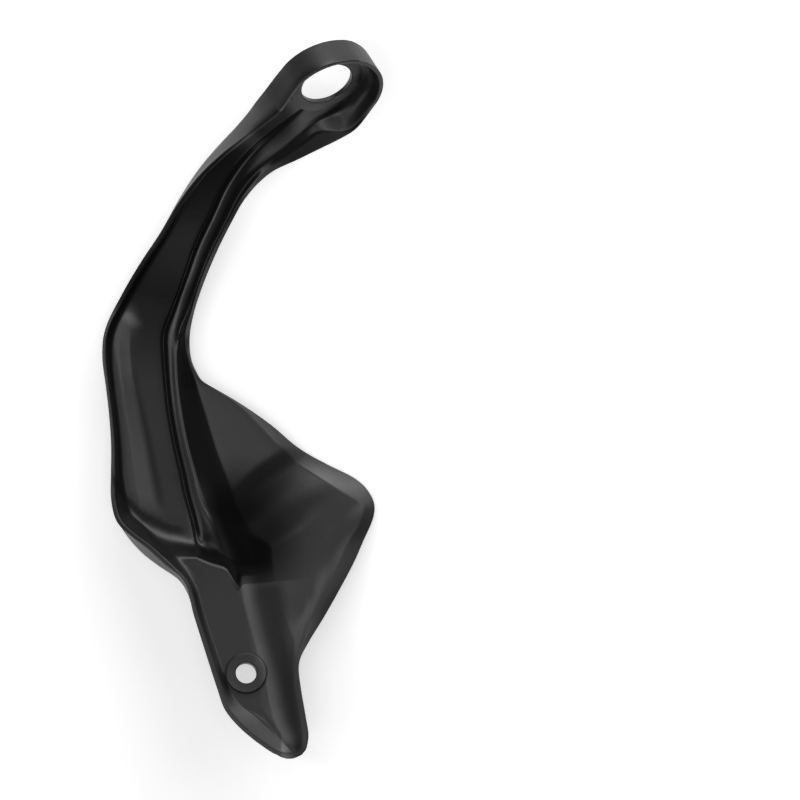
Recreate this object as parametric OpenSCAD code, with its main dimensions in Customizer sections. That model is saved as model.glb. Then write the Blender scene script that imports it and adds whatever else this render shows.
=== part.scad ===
// Motorcycle hand guard for the left of the bar as laid out here.
// One thin-walled plastic moulding: bar-end seat, channel arm, ribbed elbow panel,
// faceted wing round a deep pocket, and a tapering tail with a bolt boss.
//
// The shape is laid out on a drafting sheet of 0.4 mm squares, looked at from the
// rider's side: x to the right, y down the sheet, z in mm towards the rider.
// P() turns a sheet position into millimetres.

/* [Moulding] */
// wall thickness, mm
wall = 2.5; // [2.3:0.1:2.8]
// height of the stiffening bead inside the channel, mm
bead_h = 1.8; // [1.2:0.1:2.2]
// depth of the groove beside the bead, mm
groove_h = 1.2; // [0.4:0.1:1.3]

/* [Fixings] */
// bore of the bar-end seat, mm
seat_bore_d = 21.4; // [20:0.1:23]
// diameter of the pad round that bore, mm
seat_pad_d = 31; // [29:0.5:32]
// recess behind the bore, mm
recess_d = 26.4; // [25:0.1:27]
// bolt hole in the tail, mm
bolt_d = 8.4; // [6.4:0.1:9]
// diameter of the bolt boss, mm
boss_d = 16.4; // [14:0.2:17.6]
// height of the bolt boss above the tail floor, mm
boss_h = 2; // [1.5:0.5:3]

/* [Hidden] */
GRID = 0.4;

function P(x, y, z) = [(x - 240)*GRID, (400 - y)*GRID, z];
function PP(q) = P(q[0], q[1], q[2]);
function unit(v) = v/norm(v);
function mix(a, b, f) = a + (b - a)*f;

// flat floor of the tail and flat lower facet of the wing, as heights over the sheet
function floor_z(x, y) = 22.5 + (y - 587)*0.058 - (x - 239)*0.024;
function facet_z(x, y) = 24.5 + (y - 545)*0.052 - (x - 271.5)*0.097;
function F(x, y, up = 0) = [x, y, floor_z(x, y) + up];
function W(x, y, up = 0) = [x, y, facet_z(x, y) + up];
floor_n = unit([0.06, 0.145, 1]);

// ------------------------------------------------------------------ bar-end seat
seat_c = P(327, 84, 58);
seat_d = unit([0.35, -0.71, 0.61]);                  // axis, towards the mouth
seat_a0 = [-0.54, -0.69, -0.49];
seat_a = unit(seat_a0 - seat_d*(seat_a0*seat_d));    // in the seat's plane, to the arm
seat_u = cross(seat_d, seat_a);                      // across, left to right
function S(u, v, w) = seat_c + seat_u*u - seat_a*v + seat_d*w;
cup_rim_r = 21.3;  cup_in_r = 19.5;  cup_foot_r = 18.4;  cup_back_r = 20.8;
cup_rim_w = 7.8;  cup_back_w = -4.2;  cup_back_u = -1.2;
function polar(r, t, w) = S(r*sin(t), r*cos(t), w);
// flat floor that sweeps up into the wall like a bowl
function bowl(u, v) = let(d = max(0, sqrt(u*u + v*v) - 14.5)) S(u, v, -0.4 + 0.17*d*d);
function back(t) = polar(cup_back_r, t, cup_back_w) + seat_u*cup_back_u;

// fractions across the cup floor for the columns between the two walls
CF = [-1, -0.8, -0.6, -0.35, -0.2, 0, 0.2, 0.5, 0.8, 1];

// a row across the cup at t degrees from its far end, inside then outside
function cup_row(t) = let(
    l = polar(cup_in_r, t, cup_rim_w), o = polar(cup_rim_r, t, cup_rim_w)) [
    [polar(cup_rim_r, -t, cup_rim_w), polar(cup_in_r, -t, cup_rim_w),
     each [for (f = CF) bowl(cup_foot_r*sin(t)*f, cup_foot_r*cos(t))],
     l, mix(l, o, 0.33), mix(l, o, 0.67), o],
    cup_back(t), seat_d];
function cup_back(t) = let(
    base = back(t), far = back(-t), top = polar(cup_rim_r, t, cup_rim_w)) [
    far, each [for (f = [0.1, 0.32, 0.6, 0.75, 0.9]) mix(far, base, f)],
    base, each [for (f = [0.3, 0.55, 0.8, 0.93]) mix(base, top, f)]];
// the two rows that close the far end: along the inner and the outer rim edge
function cup_lip_in() = [
    [polar(cup_rim_r, -6, cup_rim_w), each [for (f = [-5, -4.5, each [for (c = [-4:1:4]) c], 5]) polar(cup_in_r, f, cup_rim_w)],
     mix(polar(cup_in_r, 5, cup_rim_w), polar(cup_rim_r, 6, cup_rim_w), 0.33),
     mix(polar(cup_in_r, 5, cup_rim_w), polar(cup_rim_r, 6, cup_rim_w), 0.67),
     polar(cup_rim_r, 6, cup_rim_w)],
    cup_back(6), seat_d];
function cup_lip_out() = [
    [for (f = [-4, -3.3, -2.8, -2.4, -2, -1.5, -1, -0.4, 0.2, 0.8, 1.5, 2.4, 3.1, 3.4, 3.7, 4]) polar(cup_rim_r, f, cup_rim_w)],
    cup_back(4), seat_d];

// --------------------------------------------------------------------------- arm
// floor centre x, y, z; run direction; slope and roll in degrees; left half width and
// left wall height; foot of the right wall; then its fold line and its outer edge
ARM = [
    [313, 104, 50.0, -62, -78, 29, 46, 22.2,  9.4, 14.0, [345, 131, 42.5],  [354, 131, 43]],
    [301, 115, 47.0, -63, -77, 29, 45, 20.4,  8.3, 9.0, [319, 131.5, 41],   [340, 139.5, 39]],
    [284, 129, 42.5, -65, -76, 28, 41, 17.5,  7.5, 7.8, [300, 145.5, 36],   [320.5, 149, 35]],
    [268, 143, 38.0, -67, -74, 27, 36, 15.4,  7.0, 6.8, [282, 157.5, 32.5], [299, 159.5, 32]],
    [249, 162, 32.0, -66, -75, 24, 26, 14.0,  7.0, 5.4, [263, 172, 30.5],   [271, 173, 30.5]],
    [231, 188, 26.5, -58, -81, 21, 15, 14.9,  7.2, 4.4, [243, 195, 28.5],   [246.5, 197, 28.5]],
    [217, 218, 21.5, -50, -87, 18,  8, 16.8,  7.0, 4.0, [227, 223, 24],     [230.5, 224.5, 24]],
    [202, 250, 17.0, -44, -90, 16,  4, 17.8,  6.8, 3.6, [211, 254.5, 20],   [215, 256, 20]],
    [191, 281, 13.5, -42, -91, 14,  2, 20.8,  6.6, 3.2, [199, 284.5, 17.3], [202.7, 286, 17.3]],
    [181, 309, 9.8, -30, -95, 12,  0, 23.4,  6.4, 3.2, [190.5, 313, 15.5], [193.7, 314, 15.5]]];
ARM_BEAD = [0, 0.3, 0.5, 0.6, 0.8, 0.9, 1, 1, 1, 1];
// how far the outer foot of the left wall stands out past the rim
ARM_FOOT = [2.2, 2, 0.8, 0.2, 0, 0, 0, 0, 0, 0];

function arm_row(n) = let(
    s = ARM[n], a = unit([s[3], s[4]]), sl = s[5], ro = s[6], wl = s[7], hl = s[8], ku = s[9],
    d0 = [a[0]*sin(sl), a[1]*sin(sl), cos(sl)], u0 = [-a[1], a[0], 0],
    D = d0*cos(ro) + u0*sin(ro), U = u0*cos(ro) - d0*sin(ro), C = P(s[0], s[1], s[2]),
    d = C + U*(2.4 - wl) + D*0.3, g = C - U*3.8, h = C - U*3.1, k = C + U*(ku*0.25),
    p = C + U*ku + D*0.2, l = PP(s[10]), o = PP(s[11]), uo = (o - C)*U, ul = (l - C)*U,
    base = C + U*(n < 5 ? ul + 1 : uo - 0.8) - D*wall,
    under = l + U*1.6 - D*2.7, edge = n == 0 ? o + U*1.5 - D*2 : o + U*0.3 - D*2.2) [
    [C - U*(wl + 0.9) + D*hl, C - U*(wl - 1) + D*hl, d, mix(d, g, 0.28), mix(d, g, 0.5), g,
     h - D*(groove_h*ARM_BEAD[n]), C - U*1.6 + D*(bead_h*ARM_BEAD[n]), k + D*(bead_h*0.8*ARM_BEAD[n]),
     mix(k, p, 0.6) + D*0.3, p,
     mix(p, l, 0.55), l, mix(l, o, 0.33), mix(l, o, 0.67), o],
    [C - U*(wl + ARM_FOOT[n]) - D*wall, C + U*(2.4 - wl) - D*wall, C - U*2.8 - D*wall, C + U*(ku*0.3) - D*wall,
     C + U*(ku*0.65) - D*wall, base - U*1.2, base,
     each (n < 5 ? [mix(base, under, 0.6), under, mix(under, edge, 0.5), edge] :
           [for (f = [0.3, 0.55, 0.8, 0.93]) mix(base, o, f)])], D];

// ------------------------------------------------------------- panel, wing, tail
// each row runs from the left rim to the right edge:
// rim, wall foot, groove edge, bead, bead foot, hollow, hollow floor, wall, ridge,
// middle of the facet, fold near the edge, edge
BODY = [
    [[103.3,336,14], [111,338,7.2], [160.5,335,7.6], [168.5,334,7.9], [175.5,334,8], [179,334,8.5], [180,334,9.1], [182.5,334.5,12], [184.5,335,14.5], [186.5,335,14.5], [188,335,14.5], [189.8,336,14.5]],
    [[102.2,358,14], [111,360,6.5], [161,360,6.9], [169,360,7.2], [176.5,360,6.8], [179.2,360,10], [182.5,360,12.5], [185,359,14], [187.5,358,16.5], [188.7,358.5,16.5], [190,359,16.5], [191.6,360,16.3]],
    [[105.4,384,14], [113,384,6.3], [163,383,6.8], [170.5,383,7], [177.5,383,6.3], [183,383,11], [188.5,383,14], [192.5,383.5,16.5], [197,384,18.5], [198.3,382.5,18.5], [199.6,381,18.4], [201,380,18.2]],
    [[109,415,14], [117,415,6], [166.5,415,6.4], [174,415,6.6], [181.5,415,6], [188.5,415,11], [196,415,14.5], [201.5,415,17], [206.5,415,19.2], [220,409,19.2], [238,404.5,19], [242,404,18.2]],
    [[111,446,14.2], [120,447,5.8], [172.5,447,6.2], [180,446,6.4], [187.5,446,5.5], [195,447,10.5], [205,450,14.5], [212,452.5,17.5], [219,455,20], [239,440,19.7], [265,431,19.2], [271.5,424.5,16.6]],
    [[110.8,476,14.6], [122,477,5.8], [179,477,6.2], [187,475,6.2], [195,475,5.3], [203,477,9.8], [215,482,14], [223.5,485.5,17.5], [232,489,20.6], [254,468,20], [283,448,19], [297.5,446.5,14]],
    [[111,500,15.2], [127,501,6], [183.5,498,6.4], [191.5,496,6.2], [199.5,497,5.3], [208.5,499,8.6], [220.5,503,11.2], [229.5,506,14], [238,509,16.8], [262,483,15.6], [296,462,15.8], [309,454,11]],
    [[116.5,521.5,17], [131,514,6.8], [188,514,7], [196.5,513,6.6], [204.5,514,5.2], [216,519,6.4], [228,526,7.4], [238,527,9.4], [249,527,12], [275,506,12.5], [315,475,15.4], [327.5,464,11.2]],
    [[130,535.5,20], [142,525,8.5], [192,529,8], [200.5,530,7], [208.5,532,5.4], [221,540,4.4], [236,547,4.8], [254,546,10.5], [271,545,24.5], [303,526,20.2], [346,494,16.4], [365,486,12]],
    // foot of the ramp, and the bottom of the pocket
    [[145,546.5,22.5], [155,539,12], [194.5,544,9.5], [204,546,7.7], [212,547,6], [226,557,4], [240,563,4], [258,562,10.5], [272,560,25.2], [310,540,20.5], [362,504,15.6], [374.3,501,12.2]],
    // step: the upper end of the tail floor, with its notch
    [[164,563.5,25], [176,558,20.5], [196,556.5,21], [211,562.5,21.3], [227,567,21.5], [239,587,22.5], [240.5,574.5,22.3], [256,576,23], [274,574,26], W(303,570), W(343,552), W(361,547,-0.3)],
    [[183,579.5,27.3], F(193,583), F(215,588), F(225,593), F(232,597), F(238.5,600), F(244.5,597,0.1), [260,594,24.0], W(279,592,0.4), W(303,592), W(327,592), W(338.3,592.5,-0.4)],
    [[193.8,616,28.3], F(204,617), F(226,620), F(234,621), F(240,621), F(245,622), F(248.5,622,0.1), [267,622,25.1], W(286,622,0.4), W(300,621), W(313,620), W(322.3,620.5,-0.4)],
    [[201.7,641,29.3], F(212.5,642), F(233,643), F(241,644), F(246,645), F(250,645), F(254,645,0.2), [272,645,26.6], [293,643,29], [298,642,28.3], [304,641,27.6], [309.3,641.5,27]],
    [[208,661,30.2], F(219.5,662), F(236,663), F(244,663), F(251,663), F(255,663), F(259.5,663,0.2), [277,663,27.7], [293.5,662,30.6], [295,662,30.6], [297,662,30.6], [299.3,662,30.4]],
    [[217.5,690,31.4], F(229.5,691), F(241,692), F(248,692), F(256,692), F(260,692), F(264,692,0.3), [282,691,29.4], [295,690,32.4], [297,690,32.4], [299,690,32.4], [301.3,690,32.2]],
    [[224.7,710,32], F(241,706), F(249,709), F(255,711), F(260,711), F(264,711), F(268,711,0.4), [286,708,30.7], [298.5,707,33.5], [300.5,707,33.5], [302.5,707,33.5], [304.2,707,33.3]],
    [[237.2,725.5,32.6], F(256,717,0.4), F(261,719,0.5), F(265,721,0.5), F(268.5,723,0.5), F(271.5,723,0.5), F(274,723,0.6), [289.5,722,31.7], [301,721,34.4], [303,721,34.4], [305,721,34.4], [306.6,721,34.2]],
    [[255,741,33.2], F(272,733,1), F(274,734,1), F(276,735,1), F(278,736,1), F(280,736,1), F(281.5,736,1.2), [293,735,32.8], [303,736.5,35], [305,736.5,35], [307,736.5,35], [308.7,736.5,34.8]],
    [[271.8,753,33.8], F(281,746,2), F(282.5,746.5,2), F(284,746.8,2), F(285.5,746.8,2), F(287,746.8,2), F(288.5,746.5,2.2), [295,745.5,33], [301.5,746.5,34.9], [303.3,747.7,34.9], [305,748.5,34.9], [306.9,749.2,34.8]]];
// where the two panel creases cross each row, as a share of the floor
CREASE = [[.16,.39], [.16,.39], [.18,.42], [.19,.49], [.22,.56], [.23,.58], [.21,.58], [.18,.57], [.1,.55],
          [.15,.5], [.3,.6], each [for (n = [11:19]) [.3, .6]]];
RELIEF = [0.2, 0.4, 0.6, 0.6, 0.6, 0.6, 0.6, 0.5, 0.4, 0.2, each [for (n = [10:19]) 0]];
BEAD =   [1, 1, 1, 1, 1, 1, 1, 1, 1, 0.1, each [for (n = [10:19]) 0]];
// outer foot of the left wall where it stands out past the rim
FOOT = [[8, [127,536.5,7]], [9, [139.5,551,9]], [10, [159.5,567,16]], [11, [180,581.5,19]]];
// outer foot of the right wall beside the elbow
HEEL = [[188.7,334.5,6], [189.7,358.5,5.3], [192,384,5]];

function body_row(n) = let(
    s = BODY[n], b = PP(s[0]), d = PP(s[1]), g = PP(s[2]), i = PP(s[3]),
    in2 = unit([d[0] - b[0], d[1] - b[1], 0]),
    c = b + in2*min(1.8, 0.45*norm([d[0] - b[0], d[1] - b[1]])),
    set = [for (q = FOOT) if (q[0] == n) PP(q[1])],
    a = len(set) > 0 ? set[0] : [b[0] + in2[0]*0.6, b[1] + in2[1]*0.6, d[2] - wall],
    cf = CREASE[n], up = [0, 0, RELIEF[n]]) [
    [b, c, d, mix(d, g, cf[0]) - up*0.8, mix(d, g, cf[1]) + up, g,
     mix(g, i, 0.4) - [0, 0, groove_h*BEAD[n]], i + [0, 0, bead_h*BEAD[n]],
     PP(s[4]) + [0, 0, bead_h*0.85*BEAD[n]], each [for (j = [5:11]) PP(s[j])]],
    a, [0, 0, 1]];

// rows that close the tail: along the inner and the outer edge of its rim
function bez(a, b, c, t) = a*((1 - t)*(1 - t)) + b*(2*t*(1 - t)) + c*(t*t);
// outer curves under the tip: before its corner, along it, and half way up its end
TIP = [[[274,747,30.2], [290,751.5,30.3], [301,744,30.8]],
       [[276,751,30.4], [291,756.5,30.6], [302,747.5,31.2]],
       [[278.5,754.5,31.8], [291.5,759.3,32], [301.5,752,32.6]]];
function tip_back(n) = let(
    a = PP(TIP[n][0]), b = PP(TIP[n][1]), c = PP(TIP[n][2]), o = P(305.3 - n, 749 + n*1.6, 33.4)) [
    for (t = [0:7]) bez(a, b, c, t/7), each [for (f = [0.35, 0.7, 1]) mix(c, o, f)]];
function tip_in() = let(l = P(299.5, 750.5, 34.9), o = P(304.5, 752, 34.8)) [
    [P(276.5, 755, 34), each [for (t = [0:11]) bez(P(280, 751.5, 34.1), P(291, 758, 34.6), l, t/11)],
     mix(l, o, 0.35), mix(l, o, 0.7), o], tip_back(1)];
function tip_out() = let(l = P(299, 756.2, 34.8), o = P(302.3, 754.5, 34.8)) [
    [P(279.8, 756.6, 34), each [for (t = [0:11]) bez(P(281.5, 757.3, 34.1), P(290.5, 761, 34.6), l, t/11)],
     mix(l, o, 0.35), mix(l, o, 0.7), o], tip_back(2)];

// ------------------------------------------------------------------ control rows
ring_rows = [cup_lip_out(), cup_lip_in(), each [for (t = [8, 20, 35, 50, 65, 80, 95]) cup_row(t)]];
arm_rows = [for (n = [0:len(ARM) - 1]) arm_row(n)];
body_rows = [for (n = [0:len(BODY) - 1]) body_row(n)];
NR = len(ring_rows);  NA = NR + len(ARM);  NB = NA + len(BODY);
INNER = concat([for (r = ring_rows) r[0]], [for (r = arm_rows) r[0]], [for (r = body_rows) r[0]],
               [tip_in()[0], tip_out()[0]]);

// the outside of panel, wing and tail stands one wall away from the inside, along the
// averaged normal of a net that leaves out the bead and the small creases
BASE = [0, 2, 5, 8, 9, 10, 11, 12, 13, 14, 15];
function side(i, j, di, dj) = let(
    a = INNER[i][BASE[j]], u = (INNER[i + di][BASE[j]] - a)*di, v = (INNER[i][BASE[j + dj]] - a)*dj,
    n = cross(v, u)) norm(n) < 1e-6 ? [0, 0, 0] : n/norm(n);
function net_n(i, j) = let(
    s = [for (di = [-1, 1], dj = [-1, 1]) if (j + dj >= 0 && j + dj < len(BASE)) side(i, j, di, dj)],
    n = unit([for (k = [0:2]) [for (q = s) q[k]]*[for (q = s) 1]])) n[2] < 0 ? -n : n;
function body_back(n) = let(
    i = NA + n, q = [for (j = [1:10]) INNER[i][BASE[j]] - net_n(i, j)*wall],
    heel = PP(HEEL[min(n, 2)]), edge = INNER[i][15] - [0, 0, 2],
    under = INNER[i][12] - net_n(i, 6)*wall) [
    body_rows[n][1],
    each (n < 3 ? [q[0], q[1], q[2], mix(q[2], heel, 0.45), mix(q[2], heel, 0.8), heel,
                   each [for (f = [0.3, 0.55, 0.8, 0.93]) mix(heel, INNER[i][15], f)]] :
          n < 14 ? q : n == 19 ? [for (j = [1:10]) tip_back(0)[j]] :
          [each [for (j = [0:5]) q[j]], under, mix(under, edge, 0.35), mix(under, edge, 0.7), edge])];
OUTER = concat([for (r = ring_rows) r[1]], [for (r = arm_rows) r[1]],
               [for (n = [0:len(BODY) - 1]) body_back(n)], [tip_in()[1], tip_out()[1]]);

// ------------------------------------------------------- curves through the rows
// rows where a column turns sharply instead of running through smoothly
function sharp(i, j, outer) = let(n = i - NA)
    i <= 2 || i >= NB - 1 ? true :
    outer ? (j >= 6 && j <= 8 && (n == 5 || n == 6 || n == 8 || n == 9)) || (n == 10 && j >= 1 && j <= 6) :
    (j >= 11 && j <= 13 && (n == 5 || n == 6 || n == 8)) || (j >= 12 && n == 2) ||
    (j >= 9 && j <= 13 && j != 12 && n == 9) || (n == 10 && j >= 3 && j <= 11) ||
    (n == -1 && j >= 2 && j <= 5);
function tangent(A, i, j, outer, side) = let(
    p = A[i][j], u = A[i + 1][j] - p, v = p - A[i - 1][j], lu = norm(u), lv = norm(v))
    sharp(i, j, outer) ? (side > 0 ? u : v) :
    (u*(lv/lu) + v*(lu/lv))*((side > 0 ? lu : lv)/(lu + lv));
function hermite(a, b, ta, tb, t) =
    a*(2*t*t*t - 3*t*t + 1) + b*(3*t*t - 2*t*t*t) + ta*(t*t*t - 2*t*t + t) + tb*(t*t*t - t*t);
function along(A, i, j, t, outer) = t == 0 ? A[i][j] :
    hermite(A[i][j], A[i + 1][j], i == 0 ? A[1][j] - A[0][j] : tangent(A, i, j, outer, 1),
            i + 2 >= len(A) ? A[i + 1][j] - A[i][j] : tangent(A, i + 1, j, outer, -1), t);
// steps between one row and the next
function steps(i) = i < 2 ? 1 : i < NR ? 2 : i < NA + 2 ? 3 : i < NA + 11 ? 3 : i < NB - 1 ? 2 : 1;
TIMES = [for (i = [0:NB]) each [for (k = [0:steps(i) - 1]) [i, k/steps(i)]], [NB + 1, 0]];
NI = 16;  NO = 11;
fine_in = [for (q = TIMES) [for (j = [0:NI - 1]) along(INNER, q[0], j, q[1], false)]];
fine_out = [for (q = TIMES) [for (j = [0:NO - 1]) along(OUTER, q[0], j, q[1], true)]];

// ---------------------------------------------------- rounded corners in each row
// points and radius for every column, inside then outside
ROUND_IN = [[2, 0.4], [2, 0.4], [3, 1.8], [1, 0], [1, 0], [1, 0], [1, 0], [3, 1.2], [1, 0], [1, 0], [2, 1.5],
            [1, 0], [2, 0.7], [1, 0], [1, 0], [2, 0.5]];
ROUND_OUT = [[2, 0.6], [2, 3], [1, 0], [1, 0], [1, 0], [1, 0], [2, 1], [1, 0], [1, 0], [1, 0], [1, 0]];
function corner(a, b, c, n, r) = let(
    la = norm(a - b), lc = norm(c - b), ra = min(r, la*0.4), rc = min(r, lc*0.4),
    p = b + (a - b)*(ra/max(la, 1e-9)), q = b + (c - b)*(rc/max(lc, 1e-9)))
    n == 1 ? [b] : n == 2 ? [p, q] : [p, (p + b*2 + q)/4, q];
function section(n) = let(A = fine_in[n], B = fine_out[n], L = concat(A, [for (j = [NO - 1:-1:0]) B[j]]),
    R = concat(ROUND_IN, [for (j = [NO - 1:-1:0]) ROUND_OUT[j]]), m = len(L))
    [for (j = [0:m - 1]) each corner(L[(j + m - 1)%m], L[j], L[(j + 1)%m], R[j][0], R[j][1])];

SEC = [for (n = [0:len(TIMES) - 1]) section(n)];
M = len(SEC[0]);  NS = len(SEC);

// the two ends are closed by a strip between the inside and the outside of the last row
MI = len([for (r = ROUND_IN) each [for (k = [1:r[0]]) k]]) - 1;  MO = M - MI - 2;
function inside(i, k) = i*M + k;
function outside(i, k) = i*M + M - 1 - k;
function strip(i) = concat(
    [for (k = [0:MI - 1]) [inside(i, k), inside(i, k + 1), outside(i, round((k + 0.5)*MO/MI))]],
    [for (k = [0:MO - 1]) [outside(i, k + 1), outside(i, k), inside(i, ceil((k + 0.5)*MI/MO - 0.5))]]);

module shell_body() {
    pts = [for (s = SEC) each s];
    side_faces = [for (i = [0:NS - 2], j = [0:M - 1]) let(
        a = i*M + j, b = i*M + (j + 1)%M, c = (i + 1)*M + (j + 1)%M, d = (i + 1)*M + j,
        cut = norm(pts[a] - pts[c]) <= norm(pts[b] - pts[d]))
        each (cut ? [[a, b, c], [a, c, d]] : [[a, b, d], [b, c, d]])];
    ends = concat([for (f = strip(0)) [f[0], f[2], f[1]]], strip(NS - 1));
    polyhedron(points = pts, faces = concat(side_faces, ends), convexity = 10);
}

// turns +Z on to direction d, at point c
module aim(c, d) {
    translate(c) rotate([0, acos(d[2]/norm(d)), atan2(d[1], d[0])]) children();
}

// the guard as it lies on its back: turned on to its three resting points, then moved
// so that the origin is under the middle of it
module lie() {
    translate([-5.34, -4.08, -6.427]) rotate([-4.6, 0, 0]) rotate([0, 7.2, 0]) children();
}

module hand_guard() {
    bolt_c = P(246, 673.5, floor_z(246, 673.5));
    color([0.10, 0.10, 0.105])
    lie() difference() {
        union() {
            shell_body();
            // pad round the bar-end bore
            aim(seat_c, seat_d) translate([0, 0, -wall]) cylinder(d = seat_pad_d, h = wall, $fn = 96);
            // bolt boss, with a flat seat on the outside
            aim(bolt_c, floor_n) translate([0, 0, -wall - 0.4]) cylinder(d = boss_d, h = wall + 0.4 + boss_h, $fn = 72);
        }
        aim(seat_c, seat_d) translate([0, 0, -8]) cylinder(d = seat_bore_d, h = 12, $fn = 96);
        // flat recess behind the pad
        aim(seat_c, seat_d) translate([0, 0, -10]) cylinder(d = recess_d, h = 10 - wall, $fn = 96);
        aim(bolt_c, floor_n) translate([0, 0, -8]) cylinder(d = bolt_d, h = 16, $fn = 72);
    }
}

hand_guard();
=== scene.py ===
import math

import bmesh
import bpy
import numpy as np
from mathutils import Matrix, Vector
from mathutils.kdtree import KDTree


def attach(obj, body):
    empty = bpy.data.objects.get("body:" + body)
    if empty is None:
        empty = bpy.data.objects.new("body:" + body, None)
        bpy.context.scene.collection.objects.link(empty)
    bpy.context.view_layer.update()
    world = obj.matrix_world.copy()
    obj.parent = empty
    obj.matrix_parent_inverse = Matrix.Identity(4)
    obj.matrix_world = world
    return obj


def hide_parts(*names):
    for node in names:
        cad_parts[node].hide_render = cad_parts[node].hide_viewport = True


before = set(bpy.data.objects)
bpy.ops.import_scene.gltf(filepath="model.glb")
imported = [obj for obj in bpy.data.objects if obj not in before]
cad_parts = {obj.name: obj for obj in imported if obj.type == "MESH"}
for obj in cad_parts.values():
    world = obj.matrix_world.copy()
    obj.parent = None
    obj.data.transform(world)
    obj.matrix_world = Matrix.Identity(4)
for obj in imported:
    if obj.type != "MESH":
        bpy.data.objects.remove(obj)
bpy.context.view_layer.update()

# --------------------------------------------------------------------------------------
# The guard is laid out on a drafting sheet of 0.4 mm squares looked at from the rider's
# side: x to the right, y down the sheet, z in mm towards the rider. The tables are the
# ones the solid is drawn from; here they carry a finer skin, fillets and surface grain.
# --------------------------------------------------------------------------------------
WALL = 2.5
BEAD_H = 1.8
GROOVE_H = 1.4
GRID = 0.4


def P(x, y, z):
    return np.array([(x - 240) * GRID, (400 - y) * GRID, z], float)


def PP(q):
    return P(q[0], q[1], q[2])


def unit(v):
    v = np.asarray(v, float)
    return v / max(np.linalg.norm(v), 1e-12)


def mix(a, b, f):
    return a + (b - a) * f


def floor_z(x, y):
    return 22.5 + (y - 587) * 0.058 - (x - 239) * 0.024


def facet_z(x, y):
    return 24.5 + (y - 545) * 0.052 - (x - 271.5) * 0.097


def F(x, y, up=0.0):
    return [x, y, floor_z(x, y) + up]


def W(x, y, up=0.0):
    return [x, y, facet_z(x, y) + up]


FLOOR_N = unit([0.06, 0.145, 1])


def sind(t):
    return math.sin(math.radians(t))


def cosd(t):
    return math.cos(math.radians(t))


# bar-end seat
SEAT_C = P(327, 84, 58)
SEAT_D = unit([0.35, -0.71, 0.61])
_a0 = np.array([-0.54, -0.69, -0.49])
SEAT_A = unit(_a0 - SEAT_D * (_a0 @ SEAT_D))
SEAT_U = np.cross(SEAT_D, SEAT_A)
RIM_R, IN_R, FOOT_R, BACK_R = 21.3, 19.5, 18.4, 20.8
RIM_W, BACK_W, BACK_U = 7.8, -4.2, -1.2


def S(u, v, w):
    return SEAT_C + SEAT_U * u - SEAT_A * v + SEAT_D * w


def polar(r, t, w):
    return S(r * sind(t), r * cosd(t), w)


def bowl(u, v):
    d = max(0.0, math.hypot(u, v) - 14.5)
    return S(u, v, -0.4 + 0.17 * d * d)


def back(t):
    return polar(BACK_R, t, BACK_W) + SEAT_U * BACK_U


CF = [-1, -0.8, -0.6, -0.35, -0.2, 0, 0.2, 0.5, 0.8, 1]


def cup_back(t):
    base, far, top = back(t), back(-t), polar(RIM_R, t, RIM_W)
    return (
        [far] + [mix(far, base, f) for f in (0.1, 0.32, 0.6, 0.75, 0.9)] + [base]
        + [mix(base, top, f) for f in (0.3, 0.55, 0.8, 0.93)]
    )


def cup_row(t):
    l, o = polar(IN_R, t, RIM_W), polar(RIM_R, t, RIM_W)
    return (
        [polar(RIM_R, -t, RIM_W), polar(IN_R, -t, RIM_W)]
        + [bowl(FOOT_R * sind(t) * f, FOOT_R * cosd(t)) for f in CF]
        + [l, mix(l, o, 0.33), mix(l, o, 0.67), o],
        cup_back(t),
    )


def cup_lip_in():
    l, o = polar(IN_R, 5, RIM_W), polar(RIM_R, 6, RIM_W)
    return (
        [polar(RIM_R, -6, RIM_W)]
        + [polar(IN_R, f, RIM_W) for f in (-5, -4.5, -4, -3, -2, -1, 0, 1, 2, 3, 4, 5)]
        + [mix(l, o, 0.33), mix(l, o, 0.67), o],
        cup_back(6),
    )


def cup_lip_out():
    return (
        [polar(RIM_R, f, RIM_W) for f in
         (-4, -3.3, -2.8, -2.4, -2, -1.5, -1, -0.4, 0.2, 0.8, 1.5, 2.4, 3.1, 3.4, 3.7, 4)],
        cup_back(4),
    )


# arm: floor centre, run direction, slope, roll, left half width, left wall height, foot of
# the right wall, fold line, outer edge
ARM = [
    [313, 104, 50.0, -62, -78, 29, 46, 22.2,  9.4, 14.0, [345, 131, 42.5],  [354, 131, 43]],
    [301, 115, 47.0, -63, -77, 29, 45, 20.4,  8.3, 9.0, [319, 131.5, 41],   [340, 139.5, 39]],
    [284, 129, 42.5, -65, -76, 28, 41, 17.5,  7.5, 7.8, [300, 145.5, 36],   [320.5, 149, 35]],
    [268, 143, 38.0, -67, -74, 27, 36, 15.4,  7.0, 6.8, [282, 157.5, 32.5], [299, 159.5, 32]],
    [249, 162, 32.0, -66, -75, 24, 26, 14.0,  7.0, 5.4, [263, 172, 30.5],   [271, 173, 30.5]],
    [231, 188, 26.5, -58, -81, 21, 15, 14.9,  7.2, 4.4, [243, 195, 28.5],   [246.5, 197, 28.5]],
    [217, 218, 21.5, -50, -87, 18,  8, 16.8,  7.0, 4.0, [227, 223, 24],     [230.5, 224.5, 24]],
    [202, 250, 17.0, -44, -90, 16,  4, 17.8,  6.8, 3.6, [211, 254.5, 20],   [215, 256, 20]],
    [191, 281, 13.5, -42, -91, 14,  2, 20.8,  6.6, 3.2, [199, 284.5, 17.3], [202.7, 286, 17.3]],
    [181, 309, 9.8, -30, -95, 12,  0, 23.4,  6.4, 3.2, [190.5, 313, 15.5], [193.7, 314, 15.5]],
]
ARM_BEAD = [0, 0.3, 0.5, 0.6, 0.8, 0.9, 1, 1, 1, 1]
ARM_FOOT = [2.2, 2, 0.8, 0.2, 0, 0, 0, 0, 0, 0]


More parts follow.
